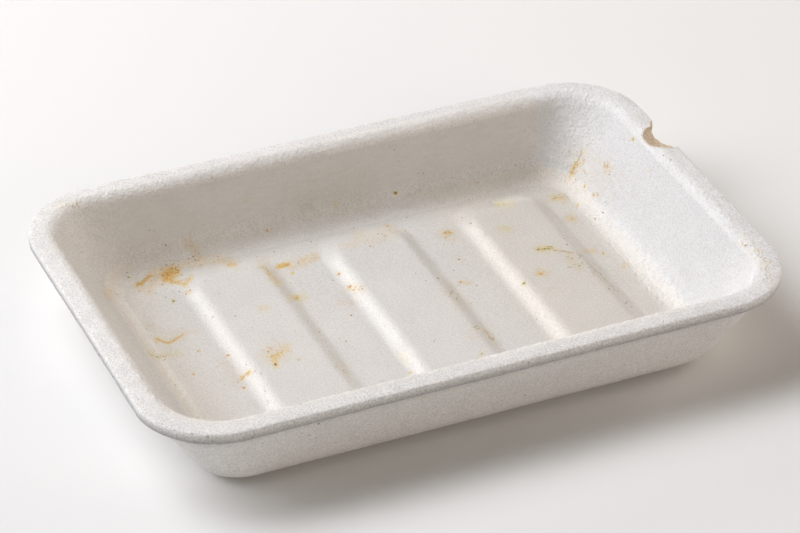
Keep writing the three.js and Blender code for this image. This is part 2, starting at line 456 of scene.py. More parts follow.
RAGGED = ((0.28, 2.4), (0.22, 1.1))  # height and size of the torn face's lumps, in mm
TORN_GAP = (0.45, 0.05)  # the skin turns torn between these distances from the cut, in mm
BITE_NEAR_X, BITE_MIDDLE_Y, BITE_NEAR_Y = LENGTH / 2 - 16, 27, 16  # the place where it may be torn
SHARP_ANGLE = radians(50)


def scoop_object(name, out, along, up, reach, turn, seed):
    """One ragged scoop of the bite, as a cutter."""
    bm = bmesh.new()
    bmesh.ops.create_icosphere(bm, subdivisions=5, radius=1)
    place = Matrix.Translation((LENGTH / 2 + out, along, HEIGHT + up))
    turned = Matrix.Rotation(radians(turn), 4, "Z")
    bm.transform(place @ turned @ Matrix.Diagonal((*reach, 1)))
    bm.normal_update()
    at = np.array([v.co[:] for v in bm.verts])
    ragged = sum(height * noise(at, size, seed + i) for i, (height, size) in enumerate(RAGGED))
    for v, rise in zip(bm.verts, ragged):
        v.co += v.normal * rise
    bm.transform(Matrix.Scale(MM, 4))
    mesh = bpy.data.meshes.new(name)
    bm.to_mesh(mesh)
    bm.free()
    return add_object(name, mesh)


torn_faces = []
for i, scoop in enumerate(BITE_SCOOPS):
    cutter = scoop_object(f"bite_scoop_{i}", seed=20 + 2 * i, **scoop)
    cut = tray.modifiers.new("bite", "BOOLEAN")
    cut.operation, cut.object, cut.solver = "DIFFERENCE", cutter, "EXACT"
    bpy.context.view_layer.update()
    bitten = bpy.data.meshes.new_from_object(tray.evaluated_get(bpy.context.evaluated_depsgraph_get()))
    tray.modifiers.remove(cut)
    whole, tray.data = tray.data, bitten
    bpy.data.meshes.remove(whole)
    torn_faces.append(surface_tree(cutter.data))
    bpy.data.objects.remove(cutter)
tray.data.name = "foam_tray"

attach(tray, "root")
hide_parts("tray")

skin = vertex_values(tray.data, "co") / MM
normal = vertex_values(tray.data, "normal")
zone = zone[[zone_tree.find(place)[1] for place in skin]]
torn = np.zeros(len(skin))
near_bite = (skin[:, 0] > BITE_NEAR_X) & (np.abs(skin[:, 1] - BITE_MIDDLE_Y) < BITE_NEAR_Y)
for i in np.where(near_bite)[0]:
    gap = min(tree.find_nearest(skin[i])[3] for tree in torn_faces)
    torn[i] = smooth_step(*TORN_GAP, gap)
point_attribute(tray, "torn", torn)

tray.data.polygons.foreach_set("use_smooth", [True] * len(tray.data.polygons))
tray.data.set_sharp_from_angle(angle=SHARP_ANGLE)

# ---- Stains: dried sauce and grease, where the photograph shows them ----

STAIN_LUMPS, STAIN_RAGGED = 1.9, 0.55  # the size of a ragged edge's lumps in mm, and their depth

# What a thin film leaves of the foam's own red, green and blue light
FILM = {
    "brown": (0.9, 0.6, 0.2),
    "tan": (0.995, 0.8, 0.42),
    "halo": (0.985, 0.9, 0.76),
    "faint": (0.98, 0.93, 0.85),
    "pink": (0.96, 0.89, 0.83),
    "olive": (0.86, 0.78, 0.4),
    "yellow": (0.985, 0.92, 0.7),
    "haze": (0.84, 0.81, 0.76),
}

# Films along paths: (film, width, soft edge, strength, places...), in pixels of the photograph.
# Those with a name of their own have fine bits strewn along them.
STAINS = {
    "left stain": ("brown", 2.6, 1.6, 0.8, (137.7, 284.5), (142, 282.5), (151.5, 274.6)),
    "big stain": ("tan", 11, 3, 0.95, (167, 276), (173, 272.5)),
    "big stain tail": ("tan", 4, 2.5, 0.65, (166, 279), (176, 282), (185.6, 283.8), (190.9, 277)),
    "back band": ("halo", 6, 6, 1.1, (165, 269), (179, 266.7), (198.7, 262), (218, 260), (233, 262.8)),
    "streak on the band": ("tan", 1.6, 1.4, 1, (229, 264.6), (235.5, 264.2)),
    "smile": (
        "tan", 1.8, 1.6, 0.8, (155.4, 338.3), (161, 340.8), (167.2, 342.9), (172.5, 341.6), (183, 334.3)),
    "low yellow": ("yellow", 3, 4, 0.7, (149, 352.7), (159.4, 357.3), (180.4, 353.4)),
    "first smear": ("tan", 3, 2.2, 0.75, (249.3, 371.7), (245, 375), (240.8, 379.6)),
    "first patch": ("halo", 14, 7, 0.65, (268, 355), (281, 351)),
    "top smear": ("tan", 3.5, 2.5, 0.35, (262, 267), (270, 275), (278, 284)),
    "top streak": ("tan", 3.2, 1.8, 1.6, (278, 266.4), (283, 265.3), (288, 264.8)),
    "top streak halo": ("halo", 8, 5, 0.65, (289, 266), (302, 262), (314, 257)),
    "blob": ("tan", 3, 1.6, 1.3, (295.5, 297.6), (296.3, 297.6)),
    "second halo": ("halo", 9, 7, 0.55, (357, 238), (374, 237), (391, 232)),
    "second slope halo": ("halo", 8, 5, 0.5, (347, 287), (361, 288.5)),
    "second blush": ("pink", 5, 5, 0.5, (340, 302), (354, 302)),
    "low patch": ("halo", 7, 4, 0.3, (339.5, 365), (345, 372)),
    "third bar": ("tan", 2.6, 2, 0.35, (443.4, 232.6), (450, 232.4)),
    "third smear halo": ("halo", 10, 8, 0.35, (449, 290), (463, 305)),
    "scribble": ("tan", 2, 1.8, 0.15, (478, 328), (484, 330), (487, 334), (492, 338), (493.5, 341)),
    "pad bar": ("olive", 2.4, 2, 0.55, (537, 249.4), (545, 248.6), (552.6, 248.4)),
    "pad spot": ("tan", 2.4, 1.6, 0.9, (540, 273.8), (541, 273.8)),
    "rib edge band": ("faint", 6, 4, 0.15, (576, 254.5), (590, 266.5), (612, 290), (635.5, 315)),
    "valley bar": ("tan", 2.6, 2.4, 0.35, (553, 198), (562.5, 198)),
    "valley orange": ("tan", 2.4, 1.8, 0.45, (570.6, 218.5), (571.4, 218.5)),
    "valley scribble": ("faint", 5, 4, 1.1, (568, 257), (574, 263), (579, 267)),
    "wall streak": ("tan", 3.6, 2.4, 0.45, (579, 162.4), (575.5, 165.5), (573.4, 169), (571.5, 176)),
    "wall streak foot": ("halo", 5, 4, 0.25, (571, 172), (569.5, 182)),
    "second wall streak": ("halo", 3, 2.6, 1.1, (607.2, 163.8), (607, 172)),
    "wall wash": ("faint", 26, 22, 0.6, (582, 160), (598, 182)),
    "back left rim": ("yellow", 7, 5, 0.12, (56, 208), (66, 205.5), (79, 203.5)),
    "right rim": ("faint", 9, 7, 0.35, (742, 240), (762, 262), (776, 290)),
}
PLAIN_STAINS = {
    "floor beside the left wall": [
        ("halo", 7, 5, 0.9, (137, 285), (144, 288), (150, 290)),
        ("brown", 4.5, 2, 0.6, (166.5, 276.5), (171, 272), (176, 271)),
        ("brown", 1.5, 1.5, 0.25, (170, 280.5), (184, 284)), ("halo", 12, 6, 1.2, (155, 277), (165, 276)),
        ("halo", 6, 5, 0.9, (186, 240), (197, 252)), ("tan", 2.4, 1.6, 0.65, (186, 292), (189.5, 292)),
        ("olive", 2.4, 2, 1, (173.2, 301.1), (173.6, 301.3)),
        ("pink", 5, 4, 0.8, (148, 325.5), (152, 327.5)),
        ("faint", 2, 2, 0.8, (183, 334.3), (191, 331.5), (198.7, 331)),
        ("faint", 7, 6, 0.7, (157, 338), (168, 341), (182, 334)),
        ("olive", 2, 1.6, 1, (198, 351), (198.4, 351.2)), ("halo", 5, 5, 0.9, (106, 292), (110, 297)),
    ],
    "first rib": [
        ("tan", 3, 2, 0.25, (243.5, 387.8), (243.9, 388)),
        ("pink", 12, 9, 0.5, (226, 366), (232, 373), (237, 381)),
        ("tan", 2, 1.4, 0.8, (228.2, 355.6), (228.6, 355.6)),
        ("tan", 1.8, 1.4, 0.8, (193.2, 374.4), (193.6, 374.4)),
        ("tan", 5, 3, 0.6, (273, 358), (276, 364.5)),
        ("tan", 2.2, 2, 0.35, (272, 361), (280, 353), (289, 345.5)),
        ("faint", 2, 2, 1, (293.5, 358.7), (301.4, 358.7)), ("halo", 9, 7, 0.4, (262, 264), (280, 282)),
        ("tan", 4, 4, 0.2, (300, 262), (316, 256.5)), ("tan", 2, 2, 0.7, (292.2, 273), (293, 273)),
        ("yellow", 6, 4, 0.8, (290, 297), (304, 298)), ("halo", 4, 4, 0.9, (260.5, 308.5), (266.4, 308.5)),
    ],
    "second rib": [
        ("tan", 3, 2.5, 0.25, (386, 226), (390.5, 226)), ("halo", 4, 4, 0.6, (343, 245.6), (350, 245.6)),
        ("tan", 2, 1.6, 0.35, (405, 231), (405.4, 231)),
        ("tan", 2.2, 1.6, 1, (338.4, 273.8), (339.2, 273.8)),
        ("tan", 2.6, 2, 0.55, (349.5, 288.3), (352, 288.5)),
        ("yellow", 5, 5, 0.35, (401.5, 355), (405.5, 362)),
        ("tan", 2.2, 1.6, 0.6, (409.6, 372.9), (410.4, 372.9)),
    ],
    "floor between the second and third ribs": [
        ("halo", 7, 5, 0.6, (442, 234), (452, 236)), ("halo", 6, 5, 0.25, (457, 258), (462, 261)),
        ("halo", 3, 3, 1.1, (461, 282.4), (470, 283)), ("yellow", 6, 4, 0.5, (497.5, 204.2), (511, 204.2)),
        ("olive", 2, 2, 0.25, (498, 204), (503, 204.2)), ("yellow", 4, 4, 0.8, (500, 229), (510, 229)),
        ("halo", 12, 8, 0.25, (474, 332), (484, 333), (492, 339)),
        ("yellow", 4, 3, 0.6, (481.2, 353.9), (482, 353.9)),
    ],
    "third rib": [
        ("yellow", 6, 4, 0.5, (537, 249.4), (554, 249)),
        ("halo", 1.6, 1.6, 1, (555, 250.4), (564, 251.6), (573.5, 253)),
        ("halo", 5, 3.5, 1, (537.6, 272), (546, 273)),
        ("olive", 2.2, 1.6, 1.1, (523.6, 283.4), (524.4, 283.4)),
        ("faint", 3, 3, 0.6, (548.4, 288.9), (549.2, 288.9)),
        ("pink", 4, 4, 0.7, (593.6, 275.2), (594.8, 275.2)),
    ],
    "floor beside the right wall": [
        ("halo", 7, 5, 0.5, (552, 198), (564, 199)), ("tan", 2, 1.6, 0.5, (577.2, 205), (578, 205)),
        ("halo", 6, 4, 0.7, (568, 218.5), (574, 219)), ("halo", 3, 3, 1.2, (586, 251), (594, 251)),
        ("tan", 2, 2, 0.6, (603, 253.2), (603.8, 253.2)), ("halo", 3, 3, 1.3, (624.2, 265.5), (625, 265.5)),
    ],
    "right wall": [
        ("tan", 1.6, 1.4, 0.25, (573.7, 165.8), (573.3, 168.6)),
        ("tan", 1.8, 1.6, 0.4, (582.5, 152.4), (582.5, 153.4)),
        ("tan", 2, 1.8, 0.5, (584.5, 185.4), (584.5, 186.4)),
        ("halo", 2.4, 2.2, 1, (592.8, 195.4), (597, 195.4)),
        ("olive", 2, 1.4, 1.3, (632.8, 139), (633.4, 139)),
        ("tan", 2, 1.6, 0.1, (646.8, 170), (647.4, 170)),
    ],
    "back wall": [
        ("haze", 26, 22, 0.35, (303, 200), (330, 195), (356, 188)),
        ("haze", 9, 8, 0.35, (306, 211), (313, 208)), ("yellow", 3, 3, 1.3, (335, 203.6), (335.6, 203.6)),
        ("tan", 2.6, 2, 1, (395, 193.1), (396, 193.1)), ("faint", 4, 4, 1, (245.6, 199), (246.4, 199)),
        ("tan", 2, 1.6, 0.45, (267.1, 230.7), (267.6, 230.7)),
    ],
}


def photo_places(points):
    """Where points in mm appear in the photograph, in pixels."""
    axes = np.array(look_matrix(CAMERA_LOOKS))
    local = (points - np.array(CAMERA_AT)) @ axes
    middle = np.array(PHOTO_SIZE) / 2
    return middle + FOCAL_PX * local[:, :2] * (1, -1) / -local[:, 2:3]


def path_distance(places, path):
    """The distance from each place to a path of straight lines."""
    nearest = np.full(len(places), np.inf)
    path = np.array(path, float)
    for a, b in zip(path[:-1], path[1:]):
        along = b - a
        t = np.clip((places - a) @ along / max(along @ along, 1e-9), 0, 1)
        nearest = np.minimum(nearest, np.linalg.norm(places - a - t[:, None] * along, axis=1))
    return nearest


def film_light(points, normal):
    """What all the stains leave of the red, green and blue light at each point."""
    places = photo_places(points)
    seen = ((np.array(CAMERA_AT) - points) * normal).sum(1) > 0
    ragged = noise(points, STAIN_LUMPS, 40)
    depth = np.zeros((len(points), 3))
    for film, width, soft, strength, *path in chain(STAINS.values(), *PLAIN_STAINS.values()):
        distance = path_distance(places, path) + ragged * soft * STAIN_RAGGED
        share = 1 - smooth_step(width / 2 - soft / 2, width / 2 + soft, distance)
        depth -= (strength * share)[:, None] * np.log(FILM[film])
    return np.exp(-np.where(seen[:, None], depth, 0))


inside = np.isin(zone, ("floor", "foot", "wall", "edge", "top"))
film = np.ones((len(skin), 3))
film[inside] = film_light(skin[inside], normal[inside])
point_attribute(tray, "film", film)
blisters = blister_share(skin, zone, floor_reach)
point_attribute(tray, "blisters", blisters)
point_attribute(tray, "wall", np.isin(zone, ("wall", "under", "lip")).astype(float))

# ---- Tone: yellowed foam, with painted light and shade ----

# How much lighter or darker places are drawn than the foam's own colour. Blisters are partly whiter skin
# and partly painted sheen; the feet of both ends are lighter. The ribs' slopes to -X, the rim's top and the
# right half of its inner edge get painted highlight, the slopes to +X painted light that softens their
# shade, the right wall painted shade, and the lip with the crease under it painted shade that turns to
# painted light lower down the wall.
BLISTER_WHITE_AND_SHEEN, END_FEET_LIGHTER, LEFT_SLOPES_PAINTED_HIGHLIGHT = 0.1, 0.1, 0.16
RIGHT_SLOPES_PAINTED_LIGHT, THIRD_SLOPE_PAINTED_LIGHT, FRONT_SLOPES_PAINTED_LIGHT = 0.02, 0.17, 0.1
EDGE_PAINTED_HIGHLIGHT, TOP_PAINTED_LIGHT, RIGHT_WALL_PAINTED_SHADE, LIP_PAINTED_SHADE, CREASE_PAINTED_SHADE = 1.06, 1.07, 0.98, 0.8, 0.76
LIP_LOW, LIP_EDGE_PAINTED_SHADE, UNDER_PAINTED_SHADE_FADE, LOW_WALL_PAINTED_LIGHT = HEIGHT - LIP, 0.28, 0.26, 0.1
RIGHT_END = LENGTH / 2 - 30

# How yellowed each place is, where 1 is the tint below, and how strong the fine grain is
YELLOWED = {"floor": 1.0, "foot": 1.0, "wall": 0.7, "edge": 0.7}
# the right end's value, below 0, draws it cooler: painted cool light of the key
YELLOWED_OUTSIDE, RIGHT_END_PAINTED_COOL_LIGHT, YELLOWER_LEFT_FLOOR, YELLOWER_RIGHT_FLOOR = 0.1, -0.4, 1.6, 1.5
YELLOW = (1.0, 0.982, 0.952)
GRAINY = {"floor": 0.62, "foot": 0.85, "wall": 0.8, "top": 1.35, "lip": 1.35}
GRAINY_ELSEWHERE, GRAINY_LEFT_WALL, GRAINY_BACK_WALL, GRAINIER_BACK_FOOT = 0.95, 1.0, 0.22, 0.9


def by_zone(values, other, zone):
    return np.array([values.get(name, other) for name in zone])


def tone(points, zone, blisters):
    """How much lighter, darker or warmer the foam is drawn at each point: its own yellowing, and painted
    light and shade.
    """
    x, y, z = points.T
    slope, faces_left = rib_slope(x, y)
    slope = np.where(zone == "floor", slope, 0)
    third = smooth_step(RIBS[1] + RIB_PITCH / 2, RIBS[2], x)
    front = smooth_step(-15, -40, y)
    # the slopes to +X lie in shade; painted light softens it, most on the third rib and towards the front
    right_slope_painted_light = RIGHT_SLOPES_PAINTED_LIGHT + THIRD_SLOPE_PAINTED_LIGHT * third
    right_slope_painted_light = slope * np.where(faces_left, 0, right_slope_painted_light + FRONT_SLOPES_PAINTED_LIGHT * front)
    on_sides = smooth_step(RIB_LENGTH / 2 - 3, RIB_LENGTH / 2 - 12, np.abs(y))
    # the slopes to -X face the light: painted highlight, away from the ribs' ends
    left_slope_painted_highlight = slope * np.where(faces_left, on_sides, 0)
    is_foot = (zone == "foot") | ((zone == "wall") & (z < 8))
    end_foot = np.where(is_foot, smooth_step(LENGTH / 2 - 34, LENGTH / 2 - 26, np.abs(x)), 0)
    # blisters: partly whiter skin, partly painted sheen, most on the slopes to -X that face the light
    light = 1 + BLISTER_WHITE_AND_SHEEN * blisters * np.where(zone == "floor", on_sides, 1)
    light = light + LEFT_SLOPES_PAINTED_HIGHLIGHT * left_slope_painted_highlight**1.5 + END_FEET_LIGHTER * end_foot + right_slope_painted_light

    # painted shade on the lip, darkest along its lower edge and in the crease under it; lower down the wall
    # it turns to painted light
    lip = LIP_PAINTED_SHADE - LIP_EDGE_PAINTED_SHADE * smooth_step(LIP_LOW + 1, LIP_LOW + 0.3, z)
    under = CREASE_PAINTED_SHADE + UNDER_PAINTED_SHADE_FADE * smooth_step(LIP_LOW - 2, LIP_LOW - 6, z)
    under = under + LOW_WALL_PAINTED_LIGHT * smooth_step(LIP_LOW - 6, 8, z)
    # the right wall, which faces the light, gets painted shade
    right_wall = (zone == "wall") & (x > RIGHT_END)
    # the right half of the rim's inner edge and the rim's top get painted highlight
    places = [(zone == "edge") & (x > 0), zone == "top", right_wall, zone == "lip", zone == "under"]
    light *= np.select(places, [EDGE_PAINTED_HIGHLIGHT, TOP_PAINTED_LIGHT, RIGHT_WALL_PAINTED_SHADE, lip, under], 1)

    # the inside is yellowed, most on the floor at both ends; the right end is drawn cooler, painted cool
    # light of the key
    yellowed = by_zone(YELLOWED, YELLOWED_OUTSIDE, zone)
    right_end = np.isin(zone, ("wall", "edge", "top")) & (x > RIGHT_END)
    yellowed = np.where(right_end, RIGHT_END_PAINTED_COOL_LIGHT, yellowed)
    at_ends = YELLOWER_LEFT_FLOOR * smooth_step(-LENGTH / 2 + 45, -LENGTH / 2 + 25, x)
    at_ends = at_ends + YELLOWER_RIGHT_FLOOR * smooth_step(20, 45, x) * smooth_step(84, 74, x)
    yellowed += np.where(np.isin(zone, ("floor", "foot")), at_ends, 0)
    return light[:, None] * np.array(YELLOW) ** yellowed[:, None]


def grain_share(points, zone):
    """How strong the fine grain of the skin is at each point."""
    x, y, z = points.T
    wall = zone == "wall"
    share = by_zone(GRAINY, GRAINY_ELSEWHERE, zone)
    share = np.where(wall & (x < -LENGTH / 2 + 26), GRAINY_LEFT_WALL, share)
    back = wall & (y > WIDTH / 2 - 22) & (np.abs(x) < LENGTH / 2 - 28)
    return np.where(back, GRAINY_BACK_WALL + GRAINIER_BACK_FOOT * smooth_step(15, 8, z), share)


point_attribute(tray, "tone", tone(skin, zone, blisters))
point_attribute(tray, "grain", grain_share(skin, zone))

# ---- Materials ----


def node(tree, kind, inputs=None, **settings):
    """A shader node. Each of the inputs is a value or the output of another node."""
    made = tree.nodes.new("ShaderNode" + kind)
    for name, value in settings.items():
        setattr(made, name, value)
    for key, value in (inputs or {}).items():
        if isinstance(value, bpy.types.NodeSocket):
            tree.links.new(value, made.inputs[key])
        else:
            made.inputs[key].default_value = value
    return made


def first(made, name=0):
    return made.outputs[name]


def math(tree, operation, *values):
    return first(node(tree, "Math", dict(enumerate(values)), operation=operation))


def ramp(tree, value, low, high, to_low=0.0, to_high=1.0):
    settings = {"Value": value, "From Min": low, "From Max": high, "To Min": to_low, "To Max": to_high}
    return first(node(tree, "MapRange", settings))


def grain(tree, place, size, detail=2.0, roughness=0.5):
    """Noise from 0 to 1 with lumps of the given size in mm."""
    settings = {"Vector": place, "Scale": 1 / size, "Detail": detail, "Roughness": roughness}
    return first(node(tree, "TexNoise", settings), "Fac")


def vary(tree, pattern, place, low, high):
    """Noise spread from a low value to a high one."""
    return ramp(tree, grain(tree, place, *pattern), 0.3, 0.7, low, high)


def scaled(tree, vector, factor):
    return first(node(tree, "VectorMath", {0: vector, "Scale": factor}, operation="SCALE"))


def stretched(tree, vector, factors):
    return first(node(tree, "VectorMath", {0: vector, 1: factors}, operation="MULTIPLY"))


def place_in_mm(tree):
    return scaled(tree, first(node(tree, "TexCoord"), "Object"), 1 / MM)


def attribute(tree, name, output="Fac"):
    return first(node(tree, "Attribute", attribute_name=name), output)


def mix(tree, share, low, high):
    return first(node(tree, "Mix", {0: share, "A": low, "B": high}, data_type="RGBA"), "Result")


def new_material(name, roughness):
    """(material, node tree, shader) of a new material."""
    material = bpy.data.materials.new(name)
    material.use_nodes = True
    shader = material.node_tree.nodes["Principled BSDF"]
    shader.inputs["Roughness"].default_value = roughness
    return material, material.node_tree, shader


FOAM_COLOUR = (0.7, 0.684, 0.665)
TORN_LIGHT, TORN_DARK = (0.7, 0.61, 0.5), (0.56, 0.4, 0.24)
FOAM_ROUGHNESS, BUMP_MM = 0.55, 0.12

# Noise patterns: the size of their lumps in mm, detail, roughness
CLOUDS, MOTTLES, SPECKLES = (9, 3), (1.3, 4, 0.65), (0.62, 4, 0.75)
PIT_SPOTS, BLOTCHES, TORN_CELLS = (0.62, 2, 0.6), (0.85, 5, 0.75), (0.9, 3)
STREAKS, GRAINS = (0.9, 3), (0.5, 5, 0.7)
FLAT, UPRIGHT = (0.35, 0.35, 1.2), (1.0, 1.0, 0.12)  # what stretches a pattern along or up the walls


def foam_pits(tree, place):
    """Small pits, many where the skin is blistered, 0 to 1."""
    spots = grain(tree, place, *PIT_SPOTS)
    return ramp(tree, math(tree, "MULTIPLY_ADD", attribute(tree, "blisters"), 0.07, spots), 0.66, 0.74)


def foam_shade(tree, place, pits):
    """How light the skin is: clouds, mottles and fine grain, with painted shade darkening the pits."""
    grainy = attribute(tree, "grain")
    mottle = vary(tree, MOTTLES, stretched(tree, place, FLAT), -0.1, 0.1)
    mottled = math(tree, "MULTIPLY_ADD", mottle, math(tree, "SUBTRACT", grainy, 0.6), 1.0)
    cloud = math(tree, "MULTIPLY", vary(tree, CLOUDS, place, 0.98, 1.02), mottled)
    fine = math(tree, "MULTIPLY_ADD", vary(tree, SPECKLES, place, -0.27, 0.25), grainy, 1.0)
    # the pits' darkening is painted shade
    painted_pit_shade = math(tree, "MULTIPLY_ADD", pits, -0.13, 1.0)
    return math(tree, "MULTIPLY", math(tree, "MULTIPLY", cloud, fine), painted_pit_shade)


def foam_colour(tree, place, pits):
    """The skin with its stains, and the torn foam. Fine noise makes each film thicker or thinner."""
    shade = foam_shade(tree, place, pits)
    blotch = ramp(tree, grain(tree, place, *BLOTCHES), 0.34, 0.66, 0.1, 1.9)
    film = node(tree, "SeparateColor", {"Color": attribute(tree, "film", "Color")})
    tones = node(tree, "SeparateColor", {"Color": attribute(tree, "tone", "Color")})
    colour = []
    for i, value in enumerate(FOAM_COLOUR):
        film_part = math(tree, "POWER", first(film, i), blotch)
        for factor in (film_part, first(tones, i), shade):
            value = math(tree, "MULTIPLY", value, factor)
        colour.append(value)
    skin_colour = first(node(tree, "CombineColor", dict(enumerate(colour))))
    cell = ramp(tree, grain(tree, place, *TORN_CELLS), 0.35, 0.65)
    torn_colour = mix(tree, cell, (*TORN_DARK, 1), (*TORN_LIGHT, 1))
    return mix(tree, attribute(tree, "torn"), skin_colour, torn_colour)


def foam_height(tree, place, pits):
    """Fine relief of the skin: grain, pits, small blisters and streaks down the walls."""
    streaks = grain(tree, stretched(tree, place, UPRIGHT), *STREAKS)
    streaks = math(tree, "MULTIPLY", streaks, math(tree, "MULTIPLY", attribute(tree, "wall"), 0.6))
    settings = {"Vector": place, "Scale": 1.0, "Smoothness": 0.3}
    cells = node(tree, "TexVoronoi", settings, feature="SMOOTH_F1")
    bubble = ramp(tree, first(cells, "Distance"), 0.1, 0.7, 1, 0)
    bubble_share = math(tree, "MULTIPLY_ADD", attribute(tree, "blisters"), 1.3, 0.1)
    bubbles = math(tree, "MULTIPLY", bubble, bubble_share)
    grains = math(tree, "MULTIPLY", grain(tree, place, *GRAINS), 1.6)
    return math(tree, "ADD", math(tree, "SUBTRACT", grains, pits), math(tree, "ADD", bubbles, streaks))


def foam_material():
    material, tree, shader = new_material("foam", FOAM_ROUGHNESS)
    place = place_in_mm(tree)
    pits = foam_pits(tree, place)
    tree.links.new(foam_colour(tree, place, pits), shader.inputs["Base Color"])
    height = foam_height(tree, place, pits)
    bump = node(tree, "Bump", {"Strength": 1.0, "Distance": BUMP_MM * MM, "Height": height})
    tree.links.new(first(bump), shader.inputs["Normal"])
    return material


tray.data.materials.clear()
tray.data.materials.append(foam_material())

# ---- Dried flecks, strokes and specks: small raised bits on the skin ----

# The colour of a bit in its middle and at its edge
TINTS = {
    "amber": ((0.52, 0.25, 0.04), (0.71, 0.5, 0.2)),
    "gold": ((0.64, 0.41, 0.08), (0.71, 0.58, 0.32)),
    "orange": ((0.58, 0.22, 0.05), (0.7, 0.47, 0.27)),
    "brown": ((0.13, 0.055, 0.015), (0.52, 0.3, 0.11)),
    "olive": ((0.12, 0.085, 0.015), (0.48, 0.41, 0.17)),
    "green": ((0.36, 0.33, 0.04), (0.58, 0.55, 0.25)),
    "dark": ((0.07, 0.06, 0.045), (0.36, 0.33, 0.28)),
    "red": ((0.2, 0.06, 0.02), (0.6, 0.34, 0.2)),
    "grey": ((0.26, 0.25, 0.22), (0.52, 0.5, 0.46)),
    "pink": ((0.55, 0.32, 0.24), (0.68, 0.55, 0.48)),
}

# Flecks that the photograph shows: (x, y, width) in its pixels
FLECKS = {
    "amber": [
        (240, 262, 2), (257, 257, 1.8), (140.8, 283.8, 4.2), (193.4, 374.4, 2.4), (198.2, 351.1, 2.4),
        (281.2, 352.7, 2.4), (387.5, 226, 3), (405, 231, 2.6), (445, 233, 3.4), (448.6, 232.6, 2.6),
        (445.5, 237.5, 2.8), (461.8, 217.8, 2.2), (339, 274, 3.4), (470.5, 304, 2.4), (460.5, 282.3, 3),
        (489, 336.9, 2.6), (540.5, 273.8, 4), (633.1, 138.8, 2.6), (573.8, 167.5, 2.8), (607.5, 166.3, 2.8),
        (584.4, 186.9, 2.6), (593.8, 195.6, 2.2), (603.1, 253.1, 2.6),
    ],
    "gold": [
        (274.6, 357.3, 2.2), (272.3, 361.5, 2.4), (217.3, 366.5, 2), (581.3, 151.9, 2.2), (597.5, 195, 1.8),
        (571.9, 218.8, 3.2), (619.4, 138.5, 1.6), (651.3, 170.6, 1.8), (498, 204, 2.6), (504, 204.4, 2.2),
        (409.8, 372.9, 2.6), (296, 297.6, 4.2), (231.7, 264.6, 4.4), (281.5, 265.8, 2.8),
        (284.2, 264.6, 2.2), (285.6, 265, 2.4), (292.4, 273, 2.4), (279.6, 264.4, 1.8),
    ],
    "orange": [
        (228.1, 355.4, 3.2), (186, 294.4, 2.2), (190, 290.4, 2.2), (243.8, 387.7, 3.4), (350, 287, 3),
        (353.5, 290, 2.4), (381.5, 233.8, 2.2), (267.3, 230.7, 3), (343, 370.5, 2.4), (571.3, 172.5, 2.2),
        (577.6, 205, 2),
    ],
    "brown": [
        (395.4, 193.1, 3.2), (437.8, 278.3, 3), (268.1, 351.9, 2.2), (275.4, 364.6, 3.2), (378, 234, 2.4),
        (178.3, 270.4, 2.2), (609.4, 174.4, 1.8), (166.2, 245, 1.8), (162.5, 284.2, 2), (425.5, 281, 1.8),
        (188.5, 259, 1.4), (193, 256.6, 1.6), (198.6, 253.8, 1.4), (191.2, 258.4, 1.2),
    ],
    "olive": [
        (459, 259.5, 2.4), (311.3, 241.6, 2), (319, 332, 2.2), (346.1, 341.1, 2.2), (173.3, 301.3, 3),
        (127, 272.5, 2.2), (298.5, 360, 2), (470.5, 223.5, 2), (524, 283.4, 2.6), (663.1, 155.6, 1.8),
        (670.6, 160, 1.6), (537.8, 249.6, 2.6), (544.6, 248.8, 2.4), (603, 212.5, 1.8),
    ],
    "green": [(128.3, 277.5, 3.2)],
    "dark": [
        (476.5, 285.5, 1.8), (490.3, 202.3, 1.6), (481.6, 353.9, 2), (564.4, 238.8, 1.8), (566.9, 244.4, 2),
        (609, 288.9, 1.8), (555, 250.4, 1.8), (407, 217.2, 1.6), (165.4, 297.5, 1.8), (173, 291.7, 1.6),
        (179, 291.3, 1.6), (175, 385, 1.6), (235.2, 316, 1.6), (362, 288.5, 1.4), (246.5, 365, 1.4),
        (318.4, 423.7, 3), (528.5, 362.5, 1.8), (300.7, 403.6, 1.6),
    ],
    "red": [(273.8, 251.7, 1.8), (351, 315.5, 2.6), (370, 246.2, 2.4), (595, 218.8, 1.6)],
    "grey": [
        (354, 228, 2), (332.8, 280.5, 2), (453.5, 270.5, 2), (416.5, 255, 1.6), (415.5, 273.3, 1.8),
        (218.8, 293.3, 1.8), (220, 381.2, 1.8), (225, 385, 1.6), (238, 382.7, 2), (273, 338.8, 1.6),
        (261, 373.5, 1.6), (605.6, 201.9, 1.6), (302, 433, 2), (309, 435, 2.4), (316, 438, 2),
        (525, 395.1, 2.4), (621.9, 188.8, 1.4),
    ],
    "pink": [(255, 371.2, 2.2), (433.9, 341.2, 2.6), (149, 291.3, 2.4), (139, 291.3, 2.6), (594, 275.2, 2)],
}

